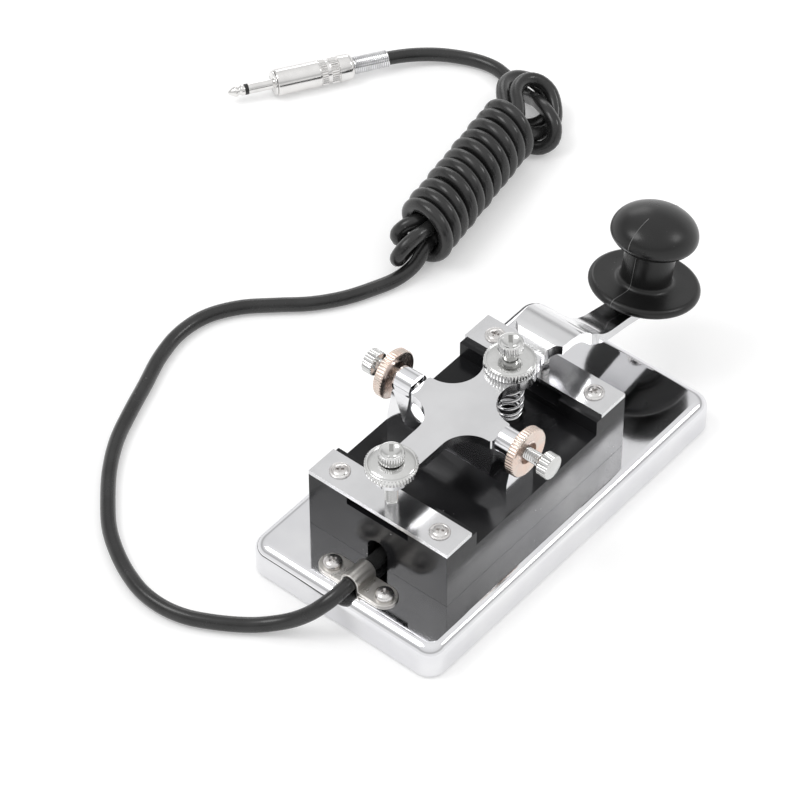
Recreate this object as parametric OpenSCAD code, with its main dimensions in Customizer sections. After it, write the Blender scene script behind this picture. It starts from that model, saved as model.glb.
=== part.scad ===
// Straight morse key on a heavy plated base, with its lead and jack plug.
// +X points from the pivot to the knob, +Z is up, and z = 0 is the desk.

/* [Base] */
// Length of the base plate along X
base_len = 130; // [124:1:136]
// Width of the base plate along Y
base_w = 68; // [64:1:74]
// Thickness of the base plate
base_h = 10.8; // [9:0.2:14]
// Radius of the base plate's corners in plan
base_corner = 5.8; // [3:0.2:9]
// Rounding of the base plate's top edge
base_edge = 3.6; // [2:0.2:4]
// Height that the rubber feet stand proud
foot_proud = 0.6; // [0.4:0.1:2]

/* [Block] */
// Length of the insulating block along X
block_len = 80; // [78:1:84]
// Width of the insulating block along Y
block_w = 50; // [48:1:52]
// Height of the block's deck above the base plate
deck_h = 14.7; // [13:0.1:16]
// Height of the end walls above the deck
wall_rise = 5.3; // [4:0.1:6]
// Thickness of each end wall along X
wall_t = 13; // [12:0.5:14]
// Wall thickness of the moulding
shell_t = 3; // [2.5:0.1:3.5]

/* [Contacts] */
// Length of each contact strap along X
strap_len = 10.8; // [9:0.2:11]
// Thickness of the contact straps
strap_t = 1.4; // [1:0.1:2]
// Gap between the contact stud and the front strap at rest
contact_gap = 1; // [0.4:0.1:1.5]
// Diameter of the contact stud
stud_d = 3.5; // [3:0.1:4]

/* [Lever] */
// Thickness of the lever
lever_t = 3; // [2.5:0.1:3.5]
// Height of the pivot axis above the base plate
pivot_h = 32; // [31.5:0.1:33]
// Distance from the pivot to the gap screw
gap_arm = 30; // [29:0.2:31]
// Distance from the pivot to the spring screw
spring_arm = 22.3; // [22:0.1:22.8]
// Distance from the pivot to the contact stud
contact_arm = 38.2; // [37.6:0.2:39]
// Downward slope of the lever's tip in degrees
tip_slope = 12; // [8:1:14]

/* [Knob] */
// Diameter of the knob's finger skirt
skirt_d = 33.5; // [30:0.5:36]
// Diameter of the knob's dome
dome_d = 26.2; // [24:0.2:28]
// Diameter of the knob's neck
neck_d = 15.2; // [14:0.2:17]
// Height of the dome's rim above the lever
dome_z = 22.1; // [20:0.1:24]

/* [Adjusters] */
// Diameter of the adjusting screws' threads
thread_d = 4; // [3.8:0.1:4.2]
// Diameter of the knurled lock nuts
nut_d = 15.2; // [14:0.2:15.6]
// Diameter of the knurled screw heads
head_d = 7.5; // [7:0.1:8.5]
// Outer diameter of the return spring
spring_d = 8.6; // [8:0.1:9.4]
// Diameter of the return spring's wire
spring_wire = 0.9; // [0.7:0.1:1]

/* [Lead and plug] */
// Diameter of the lead
cord_d = 4.5; // [4.3:0.1:4.5]
// Diameter of the plug's pin
pin_d = 3.5; // [3.5:0.1:3.5]
// Diameter of the plug's shell
shell_d = 8.8; // [8.4:0.2:9]

/* [Hidden] */
$fn = 48;

eps = 0.02;     // overshoot of a cut past a face
run_gap = 0.05; // radial clearance of a thread or shaft in its hole

// Side profile of the lever, measured from the pivot axis
joggle_start = 31.2;
joggle_end = 34.8;
joggle_rise = 3.1;
drop_top = 43.1;
drop_foot = 59.1;
drop_fall = -13.9;
tip_len = 33.8;
knob_along = 26;

// Spigot of the contact stud, pressed into a blind hole under the lever's pad
rivet_r = 1.2;
rivet_h = 2.2;

// Knob profile
boss_h = 2.3;
skirt_t = 3.1;
dome_h = 7.7;
under_h = 5.6;

// Reach of the object from the pivot, which centres it on the origin
knob_x = drop_foot + knob_along * cos(tip_slope) + lever_t / 2 * sin(tip_slope);
dome_reach = sqrt(pow(dome_d / 2 * cos(tip_slope), 2) + pow(dome_h * sin(tip_slope), 2));
front_reach = knob_x + dome_z * sin(tip_slope) + dome_reach;
rear_reach = 53.3;
pivot_x = (rear_reach - front_reach) / 2;

// Heights
plate_z = foot_proud + base_h;
deck_z = plate_z + deck_h;
wall_z = deck_z + wall_rise;
strap_z = wall_z + strap_t;
pivot_z = plate_z + pivot_h;
lever_top = pivot_z + lever_t / 2;
lever_bottom = pivot_z - lever_t / 2;
pad_bottom = lever_bottom + joggle_rise;

// Places along X
block_x = pivot_x + 3.7;
base_x = pivot_x - rear_reach + base_len / 2;
strap_x = block_len / 2 - strap_len / 2;
clamp_x = block_x - block_len / 2 - 8.3;
clamp_len = 8;

// Bearing bracket
bracket_len = 12;
post_in = 15.4;
post_out = 21.6;
boss_r = 4;
web_h = 7.2;
arm_half = 14.7;
loose_gap = 1.2;

// Fasteners
strap_screw_y = 18;
base_screw_x = 25;
base_screw_y = 17.5;
bracket_screw_y = 9;
clamp_screw_y = 9.4;
small_r = 1.5;
small_head_r = 3;
foot_r = 6;

// Wiring
lug_t = 0.6;
lug_len = 7;
wire_r = 0.6;
wire_top = deck_z - shell_t - lug_t - wire_r;

// Return spring
spring_turns = 6.5;
spring_foot = 1;
collar_h = 1;
spring_top = lever_bottom - 0.6 - collar_h;

// Lead, in the frame's own millimetres
cord_r = cord_d / 2;
lead_z = plate_z + cord_r + 0.05;
lead_start = block_x - block_len / 2 + 4;
lead_exit = clamp_x - clamp_len / 2;
lead_run = [
    [lead_exit, 0, lead_z], [lead_exit - 3, 0, lead_z], [-79.2, 0.5, 12.9], [-82, 1.8, 11.3],
    [-84.8, 4.4, 8.4], [-87.6, 8.1, 5.5], [-90.4, 12.2, 3.5], [-93.8, 16.6, 2.5],
    [-97, 21, 2.3], [-101, 27.5, 2.3], [-104, 34, 2.3], [-105.4, 41, 2.3],
    [-105, 49, 2.3], [-102.5, 57, 2.3], [-98.5, 65, 2.3], [-93, 73, 2.3],
    [-85.5, 80.5, 2.3], [-76, 88.5, 2.3], [-66, 94.8, 2.3], [-55, 99.5, 2.3],
    [-44, 103.6, 2.3], [-33, 107.8, 2.3], [-22, 110, 2.3], [-11.5, 108.8, 2.3],
    [-2, 103.5, 2.3], [6, 95.5, 2.3], [13, 88, 2.3], [21, 82, 2.3],
    [30, 77.6, 2.3], [40.5, 75.2, 2.5]
];
lead_tail = [
    [124.5, 97.5, 2.5], [128, 101.4, 2.4], [130.4, 106, 2.4], [131.6, 112, 2.4], [130.8, 118, 2.4],
    [128.4, 124, 2.5], [124.6, 129.8, 2.9], [119.6, 134.6, 3.6], [114.6, 138.2, 4.2],
    [110.1, 141.1, 4.4], [104, 144.9, 4.4], [101, 146.8, 4.4]
];

// Hank: its own axis lies on the desk and leans away from +X
hank_at = [52.1, 76.3];
hank_turn = 10;
hank_back = 14;
hank_front = 82;
hank_r = 11.4;
hank_h = 20.6;

// Plug: local +X runs from the pin's tip towards the lead
plug_at = [66.5, 168.4, shell_d / 2];
plug_turn = -32;
tip_h = 5.4;
ring_h = 1.2;
pin_len = 14.7;
flange_h = 1;
shell_len = 25.6;
strain_len = 12;
strain_r = 2.9;
plug_bore_r = cord_r + 0.25;

core_r = 0.7;                           // solid core that carries the tip
core_end = pin_len + flange_h + 8;
insulation_r = 1.15;

// Clamp and knob
clamp_t = 0.8;
clamp_grip = 0.1;
clamp_head_r = 2.8;
insert_r = 3.2;

// ---- helpers ----

function arc(cx, cy, r, a0, a1, n = 12) =
    [for (i = [0 : n]) let (a = a0 + (a1 - a0) * i / n) [cx + r * cos(a), cy + r * sin(a)]];

function unit(v) = v / norm(v);

// Direction of a 3-D path at point i
function heading(path, i) =
    unit(path[min(i + 1, len(path) - 1)] - path[max(i - 1, 0)]);

// One ring of a tube, square to direction d with its first point to the side
function ring(c, d, r, sides) =
    let (s = unit(cross([0, 0, 1], d)), u = cross(d, s))
    [for (k = [0 : sides - 1]) let (a = 360 * k / sides) c + r * (cos(a) * s + sin(a) * u)];

module tube(path, r, sides = 10) {
    n = len(path);
    rings = [for (i = [0 : n - 1]) each ring(path[i], heading(path, i), r, sides)];
    caps = [
        [for (k = [0 : sides - 1]) k],
        [for (k = [sides - 1 : -1 : 0]) (n - 1) * sides + k]
    ];
    walls = [
        for (i = [0 : n - 2], k = [0 : sides - 1])
            let (a = i * sides, b = a + sides, j = (k + 1) % sides)
            [a + k, b + k, b + j, a + j]
    ];
    polyhedron(rings, concat(caps, walls), convexity = 8);
}

// A rounded rectangle extruded upwards
module slab(l, w, h, r) {
    linear_extrude(h) {
        square([l - 2 * r, w], center = true);
        square([l, w - 2 * r], center = true);
        for (x = [-1, 1], y = [-1, 1])
            translate([x * (l / 2 - r), y * (w / 2 - r)]) circle(r);
    }
}

// A pan-head screw whose head sits on z = 0 and whose shank points down
module pan_screw(r, head_r, shank, head_h = 1.6, recess = 0.9) {
    difference() {
        union() {
            translate([0, 0, -shank]) cylinder(r = r, h = shank + eps);
            rotate_extrude()
                polygon(concat(
                    [[0, 0], [head_r, 0], [head_r, head_h * 0.4]],
                    [[head_r * 0.86, head_h * 0.72], [head_r * 0.55, head_h], [0, head_h]]));
        }
        for (a = [0, 90])
            rotate(a + 20)
                translate([-head_r * 0.55, -head_r * 0.12, head_h - recess])
                    cube([head_r * 1.1, head_r * 0.24, recess + eps]);
    }
}

module at_block() {
    translate([block_x, 0, plate_z]) children();
}

module at_pivot() {
    translate([pivot_x, 0, pivot_z]) children();
}

// The frame of the lever's sloping tip: +X along it and +Z square to it
module at_tip() {
    at_pivot()
        translate([drop_foot, 0, drop_fall])
            rotate([0, tip_slope, 0])
                children();
}

module at_plug() {
    translate(plug_at) rotate([0, 0, plug_turn]) rotate([0, 90, 0]) children();
}

// A knurled disc with a bore, lying on z = 0
module lock_nut(h = 3, hub_h = 0) {
    difference() {
        union() {
            translate([0, 0, hub_h])
                rotate_extrude($fn = 64)
                    polygon([[0, 0], [nut_d / 2 - 0.3, 0], [nut_d / 2, 0.3],
                             [nut_d / 2, h - 0.4], [nut_d / 2 - 0.5, h], [0, h]]);
            if (hub_h > 0) cylinder(d = nut_d * 0.62, h = hub_h + eps);
        }
        translate([0, 0, -1]) cylinder(d = thread_d + 2 * run_gap, h = h + hub_h + 2);
    }
}

// ---- base ----

module base_plate() {
    color("gainsboro")
    difference() {
        translate([base_x, 0, foot_proud]) {
            slab(base_len, base_w, base_h - base_edge, base_corner);
            hull()
                for (i = [0 : 4])
                    let (a = 90 * i / 4, inset = base_edge * (1 - cos(a)))
                    translate([0, 0, base_h - base_edge + (i == 0 ? -eps : 0) + base_edge * sin(a) * 0.99])
                        slab(base_len - 2 * inset, base_w - 2 * inset, base_edge * 0.01,
                             base_corner - inset, $fn = 32);
        }
        for (x = [-1, 1], y = [-1, 1])
            translate([block_x + x * base_screw_x, y * base_screw_y, 0]) {
                cylinder(r = small_r + 0.6, h = plate_z + 1);
                cylinder(r = small_head_r + 1, h = foot_proud + 4);
            }
        for (y = [-1, 1])
            translate([clamp_x, y * clamp_screw_y, plate_z - 7]) cylinder(r = small_r + run_gap, h = 8);
        for (x = [-1, 1], y = [-1, 1])
            translate([base_x + x * (base_len / 2 - 11), y * (base_w / 2 - 11), 0])
                cylinder(r = foot_r + run_gap, h = foot_proud + 1);
    }
}

module rubber_feet() {
    color("dimgray")
    for (x = [-1, 1], y = [-1, 1])
        translate([base_x + x * (base_len / 2 - 11), y * (base_w / 2 - 11), 0])
            cylinder(r = foot_r, h = foot_proud + 1);
}

module base_screws() {
    color("silver")
    for (x = [-1, 1], y = [-1, 1])
        translate([block_x + x * base_screw_x, y * base_screw_y, foot_proud + 4])
            rotate([180, 0, 0])
                pan_screw(small_r + 0.5, small_head_r + 0.8, base_h + 4, 2.2);
}

// ---- block ----

// Round-topped hole for the lead in the block's rear face
module lead_arch() {
    translate([-block_len / 2 - 1, 0, 0])
        rotate([90, 0, 90])
            linear_extrude(shell_t + 2) {
                translate([-3.5, -1]) square([7, 6.7]);
                translate([0, 5.7]) circle(3.5);
            }
}

module block() {
    groove_w = 22;
    groove_h = 2.7;
    color([0.07, 0.07, 0.075])
    at_block()
    difference() {
        translate([0, 0, (deck_h + wall_rise) / 2])
            cube([block_len, block_w, deck_h + wall_rise], center = true);
        translate([0, 0, deck_h + wall_rise])
            cube([block_len - 2 * wall_t, block_w + 2, 2 * wall_rise], center = true);
        difference() {
            translate([0, 0, (deck_h - shell_t) / 2 - 0.5])
                cube([block_len - 2 * shell_t, block_w - 2 * shell_t, deck_h - shell_t + 1], center = true);
            for (x = [-1, 1], y = [-1, 1])
                translate([x * base_screw_x, y * base_screw_y, -1]) cylinder(r = 4.2, h = deck_h + 2);
        }
        for (x = [-1, 1], y = [-1, 1])
            translate([x * base_screw_x, y * base_screw_y, -1]) cylinder(r = 2.05, h = deck_h - 1);
        for (x = [-1, 1])
            translate([x * block_len / 2, 0, deck_h + wall_rise - groove_h / 2 + eps / 2])
                cube([2 * wall_t + 2, groove_w, groove_h + eps], center = true);
        for (x = [-1, 1], y = [-1, 1])
            translate([x * strap_x, y * strap_screw_y, -1]) cylinder(r = small_r + run_gap, h = 30);
        for (y = [-1, 1])
            translate([pivot_x - block_x, y * bracket_screw_y, -1]) cylinder(r = small_r + run_gap, h = 30);
        translate([pivot_x - block_x + spring_arm, 0, deck_h - spring_foot])
            cylinder(d = spring_d + 0.8, h = 5);
        lead_arch();
    }
}

// ---- contact straps ----

module strap() {
    difference() {
        translate([0, 0, strap_t / 2]) cube([strap_len, block_w, strap_t], center = true);
        for (y = [-1, 1])
            translate([0, y * strap_screw_y, -1]) cylinder(r = small_r + run_gap, h = strap_t + 2);
    }
}

module rear_strap() {
    color("lightgray") at_block() translate([-strap_x, 0, deck_h + wall_rise]) strap();
}

module front_strap() {
    color("lightgray") at_block() translate([strap_x, 0, deck_h + wall_rise]) strap();
}

module strap_screws(side) {
    color("silver")
    at_block()
        for (y = [-1, 1])
            translate([side * strap_x, y * strap_screw_y, deck_h + wall_rise + strap_t])
                pan_screw(small_r, small_head_r, wall_rise + strap_t + shell_t + 4, 0.9, 0.6);
}

module rear_strap_screws() {
    strap_screws(-1);
}

module front_strap_screws() {
    strap_screws(1);
}

// ---- bearing bracket and pivots ----

module bracket_post() {
    foot_z = deck_z - pivot_z;
    rotate([90, 0, 0])
        linear_extrude(post_out - post_in)
            difference() {
                polygon(concat(
                    arc(0, 0, boss_r, -20, 200, 20),
                    [[-bracket_len / 2, foot_z + web_h], [-bracket_len / 2, foot_z],
                     [bracket_len / 2, foot_z], [bracket_len / 2, foot_z + 3]]));
                circle(d = thread_d + 2 * run_gap);
            }
}

module bearing_bracket() {
    foot_z = deck_z - pivot_z;
    color("gainsboro")
    at_pivot()
    difference() {
        union() {
            translate([0, post_out, 0]) bracket_post();
            translate([0, -post_in, 0]) bracket_post();
            translate([-bracket_len / 2, -post_in - eps, foot_z])
                cube([bracket_len, 2 * (post_in + eps), web_h]);
        }
        for (y = [-1, 1])
            translate([0, y * bracket_screw_y, foot_z - 1]) cylinder(r = small_r + run_gap, h = 6);
    }
}

module bracket_screws() {
    color("silver")
    for (y = [-1, 1])
        translate([pivot_x, y * bracket_screw_y, deck_z - shell_t - (y > 0 ? 0 : 0.6)])
            rotate([180, 0, 0])
                pan_screw(small_r, small_head_r, shell_t + 4.4);
}

// Screw along +Y with a 60 degree point that bears in the lever's arm
module pivot_screw(tip_y, head_in, head_out) {
    point_h = 2;
    rotate([-90, 0, 0])
        rotate_extrude()
            polygon([
                [0, tip_y], [thread_d / 2 - 0.6, tip_y + point_h], [thread_d / 2, tip_y + point_h + 0.6],
                [thread_d / 2, head_in], [head_d / 2 - 0.3, head_in], [head_d / 2, head_in + 0.3],
                [head_d / 2, head_out - 0.4], [head_d / 2 - 0.5, head_out], [0, head_out]
            ]);
}

module left_pivot_screw() {
    color("silver") at_pivot() pivot_screw(arm_half - 1.5, 29.6, 33.2);
}

module right_pivot_screw() {
    color("silver") at_pivot() mirror([0, 1, 0]) pivot_screw(arm_half - 1.5, 29.6, 33.2);
}

module left_lock_nut() {
    color("rosybrown") at_pivot() translate([0, post_out + loose_gap, 0]) rotate([-90, 0, 0]) lock_nut();
}

module right_lock_nut() {
    color("rosybrown") at_pivot() translate([0, -post_out, 0]) rotate([90, 0, 0]) lock_nut();
}

// ---- lever ----

// Plan of the lever's left half, from the rear end to the tip
function lever_half() = concat(
    arc(-gap_arm, 0, 5.2, 180, 62),
    arc(-13.4, 13.6, 9, 270, 360),
    arc(-3.4, arm_half - 1, 1, 180, 90, 3),
    arc(3.4, arm_half - 1, 1, 90, 0, 3),
    arc(13.4, 13.7, 9, 184, 300, 16),
    arc(spring_arm, 0, 7.8, 120, 50),
    arc(30.8, 9.4, 4.4, 232, 350, 14),
    arc(47.3, 4.9, 4.5, 90, 42, 6),
    arc(57.5, 9.4, 4.3, 228, 270, 6),
    [[72, 4.6]],
    arc(86, 0, 6.2, 130, 0)
);

function flip(points) = [for (i = [len(points) - 1 : -1 : 0]) [points[i][0], -points[i][1]]];

// A line of the side profile with each corner rounded by a quadratic bend
function bend(a, b, c, d, n = 8) =
    let (p = b + d * unit(a - b), q = b + d * unit(c - b))
    [for (i = [0 : n]) let (t = i / n) p * pow(1 - t, 2) + b * 2 * t * (1 - t) + q * t * t];

function side_line() =
    let (
        a = [-gap_arm - 8, 0],
        b = [joggle_start, 0],
        c = [joggle_end, joggle_rise],
        d = [drop_top, joggle_rise],
        e = [drop_foot, drop_fall],
        f = [drop_foot + tip_len * cos(tip_slope), drop_fall - tip_len * sin(tip_slope)]
    )
    concat([a], bend(a, b, c, 1.2, 5), bend(b, c, d, 1.8, 6), bend(c, d, e, 4, 10), bend(d, e, f, 5, 10), [f]);

// The profile line moved square to itself by d
function moved(line, d) = [
    for (i = [0 : len(line) - 1])
        let (h = heading(line, i)) line[i] + d * [-h[1], h[0]]
];

module lever_sheet() {
    line = side_line();
    rotate([90, 0, 0])
        translate([0, 0, -20])
            linear_extrude(40)
                polygon(concat(moved(line, lever_t / 2), [
                    for (p = [len(line) - 1 : -1 : 0]) moved(line, -lever_t / 2)[p]
                ]));
}

module lever() {
    color("gainsboro")
    difference() {
        at_pivot()
        difference() {
            intersection() {
                lever_sheet();
                translate([0, 0, -40])
                    linear_extrude(60)
                        polygon(concat(lever_half(), flip(lever_half())));
            }
            for (x = [-gap_arm, spring_arm])
                translate([x, 0, -5]) cylinder(d = thread_d + 2 * run_gap, h = 10);
            for (side = [-1, 1])
                translate([0, side * (arm_half - 1.6), 0])
                    rotate([-90 * side, 0, 0])
                        cylinder(r1 = 0.1, r2 = 1.35, h = 1.6 + eps, $fn = 24);
            translate([contact_arm, 0, pad_bottom - pivot_z - 1])
                cylinder(r = rivet_r + run_gap, h = 1 + rivet_h + run_gap);
        }
        at_tip() translate([knob_along, 0, -5]) cylinder(r = small_r + run_gap, h = 10);
    }
}

module contact_stud() {
    color("silver")
    at_pivot()
        translate([contact_arm, 0, 0])
            rotate_extrude() {
                stud_bottom = strap_z + contact_gap - pivot_z;
                neck_z = pad_bottom - pivot_z;
                polygon([
                    [0, stud_bottom], [stud_d / 2 - 0.6, stud_bottom], [stud_d / 2, stud_bottom + 0.6],
                    [stud_d / 2, neck_z], [rivet_r, neck_z], [rivet_r, neck_z + rivet_h],
                    [0, neck_z + rivet_h]
                ]);
            }
}

// ---- adjusting screws on the lever ----

module adjusting_screw(tip_z, head_z, head_h) {
    difference() {
        rotate_extrude()
            polygon([
                [0, tip_z], [thread_d / 2 - 0.7, tip_z], [thread_d / 2, tip_z + 0.7],
                [thread_d / 2, head_z], [head_d / 2 - 0.3, head_z], [head_d / 2, head_z + 0.3],
                [head_d / 2, head_z + head_h - 0.3], [head_d / 2 - 0.3, head_z + head_h],
                [0, head_z + head_h]
            ]);
        translate([-head_d, -0.5, head_z + head_h - 1]) cube([2 * head_d, 1, 2]);
    }
}

module gap_screw() {
    color("silver")
    translate([pivot_x - gap_arm, 0, 0]) adjusting_screw(strap_z, plate_z + 38, 3.2);
}

module gap_lock_nut() {
    color("silver") translate([pivot_x - gap_arm, 0, lever_top]) lock_nut(3, 1);
}

module spring_screw() {
    color("silver")
    translate([pivot_x + spring_arm, 0, 0]) {
        adjusting_screw(spring_top - 5, plate_z + 40, 3.2);
        translate([0, 0, spring_top]) cylinder(d = 6.6, h = collar_h);
    }
}

module spring_lock_nut() {
    color("silver") translate([pivot_x + spring_arm, 0, lever_top]) lock_nut(3.4);
}

// Compression spring, a little barrelled, with closed ends
module return_spring() {
    h0 = deck_z - spring_foot + spring_wire / 2 + eps;
    h1 = spring_top - spring_wire / 2 - eps;
    steps = 16;
    n = spring_turns * steps;
    path = [
        for (i = [0 : n])
            let (
                t = i / n,
                s = t - 0.075 * sin(360 * t),
                r = (spring_d - spring_wire) / 2 - 0.55 * pow(2 * t - 1, 2),
                a = 360 * i / steps
            )
            [r * cos(a), r * sin(a), h0 + (h1 - h0) * s]
    ];
    color("silver") translate([pivot_x + spring_arm, 0, 0]) tube(path, spring_wire / 2, 6);
}

// ---- knob ----

module knob() {
    skirt_top = boss_h + skirt_t;
    edge = skirt_t / 2;
    join = 52;
    color([0.09, 0.09, 0.09])
    at_tip()
    translate([knob_along, 0, lever_t / 2])
        difference() {
            rotate_extrude($fn = 72)
                polygon(concat(
                    [[0, 0], [neck_d / 2, 0], [neck_d / 2, boss_h]],
                    arc(skirt_d / 2 - edge, boss_h + edge, edge, -90, 90, 8),
                    [[neck_d / 2 + 1.6, skirt_top]],
                    arc(neck_d / 2 + 1.4, skirt_top + 1.4, 1.4, 240, 180, 4),
                    [for (i = [0 : 8]) let (a = -join + join * i / 8)
                        [dome_d / 2 * cos(a), dome_z + under_h * sin(a)]],
                    [for (i = [1 : 12]) let (a = 90 * i / 12)
                        [dome_d / 2 * cos(a), dome_z + dome_h * sin(a)]]
                ));
            translate([0, 0, -1]) cylinder(r = insert_r, h = 13);
        }
}

module knob_insert() {
    color("goldenrod")
    at_tip()
    translate([knob_along, 0, lever_t / 2])
        difference() {
            cylinder(r = insert_r, h = 10);
            translate([0, 0, -1]) cylinder(r = small_r + run_gap, h = 12);
        }
}

module knob_screw() {
    color("silver")
    at_tip() translate([knob_along, 0, -lever_t / 2]) rotate([180, 0, 0]) pan_screw(small_r, small_head_r, 11);
}

// ---- lead clamp ----

module cord_clamp() {
    inner = cord_r + clamp_grip;
    rise = lead_z - plate_z;
    color("lightgray")
    translate([clamp_x, 0, plate_z])
    difference() {
        union() {
            for (side = [-1, 1])
                translate([0, side * clamp_screw_y, 0]) cylinder(d = clamp_len, h = clamp_t);
            translate([-clamp_len / 2, -clamp_screw_y, 0]) cube([clamp_len, 2 * clamp_screw_y, clamp_t]);
            translate([-clamp_len / 2, 0, rise]) rotate([0, 90, 0]) cylinder(r = inner + clamp_t, h = clamp_len);
            translate([-clamp_len / 2, -inner - clamp_t, 0]) cube([clamp_len, 2 * (inner + clamp_t), rise]);
        }
        translate([-clamp_len, 0, rise]) rotate([0, 90, 0]) cylinder(r = inner, h = 2 * clamp_len);
        translate([-clamp_len, -inner, -1]) cube([2 * clamp_len, 2 * inner, rise + 1]);
        for (side = [-1, 1])
            translate([0, side * clamp_screw_y, -1]) cylinder(r = small_r + run_gap, h = 4);
    }
}

module clamp_screws() {
    color("silver")
    for (side = [-1, 1])
        translate([clamp_x, side * clamp_screw_y, plate_z + clamp_t]) pan_screw(small_r, clamp_head_r, 6);
}

// ---- wiring inside the block ----

// A solder lug round a screw, with its tail along -X
module lug(eye_r) {
    tail_w = 2.4;
    difference() {
        union() {
            cylinder(r = eye_r, h = lug_t);
            translate([-lug_len, -tail_w / 2, 0]) cube([lug_len, tail_w, lug_t]);
        }
        translate([0, 0, -1]) cylinder(r = small_r + run_gap, h = lug_t + 2);
    }
}

module bracket_lug() {
    color("gold") translate([pivot_x, -bracket_screw_y, deck_z - shell_t - lug_t]) lug(3);
}

module contact_lug() {
    color("gold")
    at_block()
        translate([strap_x, -strap_screw_y, deck_h - shell_t - lug_t])
            rotate([0, 0, -90])
                lug(2.3);
}

module contact_nut() {
    nut_h = 2.4;
    color("silver")
    at_block()
        translate([strap_x, -strap_screw_y, deck_h - shell_t - lug_t - nut_h])
            difference() {
                rotate([0, 0, 30]) cylinder(r = 2.6, h = nut_h, $fn = 6);
                translate([0, 0, -1]) cylinder(r = small_r + run_gap, h = nut_h + 2, $fn = 48);
            }
}

module bracket_wire() {
    color("saddlebrown")
    tube([
        [lead_start + eps, -0.9, lead_z], [-48, -1.6, lead_z + 0.6], [-40, -4, wire_top - 4],
        [-36, -7, wire_top - 1], [pivot_x - lug_len, -bracket_screw_y, wire_top],
        [pivot_x - lug_len + 3, -bracket_screw_y, wire_top]
    ], wire_r, 8);
}

module contact_wire() {
    lug_x = block_x + strap_x;
    lug_y = -strap_screw_y + lug_len;
    color("firebrick")
    tube([
        [lead_start + eps, 0.9, lead_z], [-48, 2, lead_z], [-34, 4, 13], [-18, 3, 13],
        [-4, 0, 13.5], [4, -2, 15], [lug_x - 3, -3.5, wire_top - 2], [lug_x, lug_y + 3, wire_top],
        [lug_x, lug_y - 2.6, wire_top]
    ], wire_r, 8);
}

// ---- lead ----

module lead_in() {
    color([0.1, 0.1, 0.1])
    translate([lead_exit, 0, lead_z]) rotate([0, 90, 0]) cylinder(r = cord_r, h = lead_start - lead_exit);
}

module cord_run() {
    color([0.1, 0.1, 0.1]) tube(lead_run, cord_r);
}

module cord_hank() {
    color([0.1, 0.1, 0.1])
    translate([hank_at[0], hank_at[1], 0])
        rotate([0, 0, hank_turn])
            linear_extrude(hank_h) {
                translate([-hank_back + hank_r, -hank_r])
                    square([hank_front + hank_back - 2 * hank_r, 2 * hank_r]);
                translate([-hank_back + hank_r, 0]) circle(hank_r);
                translate([hank_front - hank_r, 0]) circle(hank_r);
            }
}

module cord_tail() {
    color([0.1, 0.1, 0.1]) tube(lead_tail, cord_r);
}

// ---- plug, drawn upwards from the pin's tip ----

module plug_tip() {
    r = pin_d / 2;
    color("silver")
    at_plug()
        rotate_extrude()
            polygon([
                [0, 0], [0.5, 0.1], [r, 2.3], [r, 2.7], [r - 0.5, 3.5], [r, 4.3], [r, tip_h],
                [core_r, tip_h], [core_r, core_end], [0, core_end]
            ]);
}

module plug_ring() {
    color([0.05, 0.05, 0.05])
    at_plug()
        translate([0, 0, tip_h])
            difference() {
                union() {
                    cylinder(d = pin_d, h = ring_h);
                    cylinder(r = insulation_r, h = core_end - 1 - tip_h);
                }
                translate([0, 0, -1]) cylinder(r = core_r + eps, h = core_end);
            }
}

module plug_sleeve() {
    start = tip_h + ring_h;
    color("gainsboro")
    at_plug()
        difference() {
            union() {
                translate([0, 0, start]) cylinder(d = pin_d, h = pin_len - start + eps);
                translate([0, 0, pin_len]) cylinder(d = shell_d - 0.8, h = flange_h);
                translate([0, 0, pin_len]) cylinder(d = shell_d - 2, h = flange_h + 6);
            }
            translate([0, 0, -1]) cylinder(r = insulation_r + eps, h = 40);
        }
}

module plug_shell() {
    r = shell_d / 2;
    color("silver")
    at_plug()
        translate([0, 0, pin_len + flange_h])
            difference() {
                rotate_extrude()
                    polygon([
                        [0, 0], [r - 0.3, 0], [r, 0.3], [r, 11], [r - 0.5, 11.6], [r - 0.5, 13.4],
                        [r, 14], [r, shell_len - 6], [r - 1, shell_len - 1], [r - 1.3, shell_len],
                        [0, shell_len]
                    ]);
                translate([0, 0, -1]) cylinder(r = r - 0.95, h = 8);
                translate([0, 0, 6.9]) cylinder(r = r - 1.4, h = shell_len - 9);
                translate([0, 0, -1]) cylinder(r = plug_bore_r, h = shell_len + 2);
            }
}

module plug_spring() {
    color("silver")
    at_plug()
        translate([0, 0, pin_len + flange_h + shell_len])
            difference() {
                cylinder(r = strain_r, h = strain_len);
                translate([0, 0, -1]) cylinder(r = plug_bore_r, h = strain_len + 2);
            }
}

base_plate();
rubber_feet();
base_screws();
block();
rear_strap();
front_strap();
rear_strap_screws();
front_strap_screws();
bearing_bracket();
bracket_screws();
left_pivot_screw();
right_pivot_screw();
left_lock_nut();
right_lock_nut();
lever();
contact_stud();
gap_screw();
gap_lock_nut();
spring_screw();
spring_lock_nut();
return_spring();
knob();
knob_insert();
knob_screw();
cord_clamp();
clamp_screws();
bracket_lug();
contact_lug();
contact_nut();
bracket_wire();
contact_wire();
lead_in();
cord_run();
cord_hank();
cord_tail();
plug_tip();
plug_ring();
plug_sleeve();
plug_shell();
plug_spring();
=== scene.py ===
import math

import bmesh
import bpy
import numpy as np
from mathutils import Matrix, Vector


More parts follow.
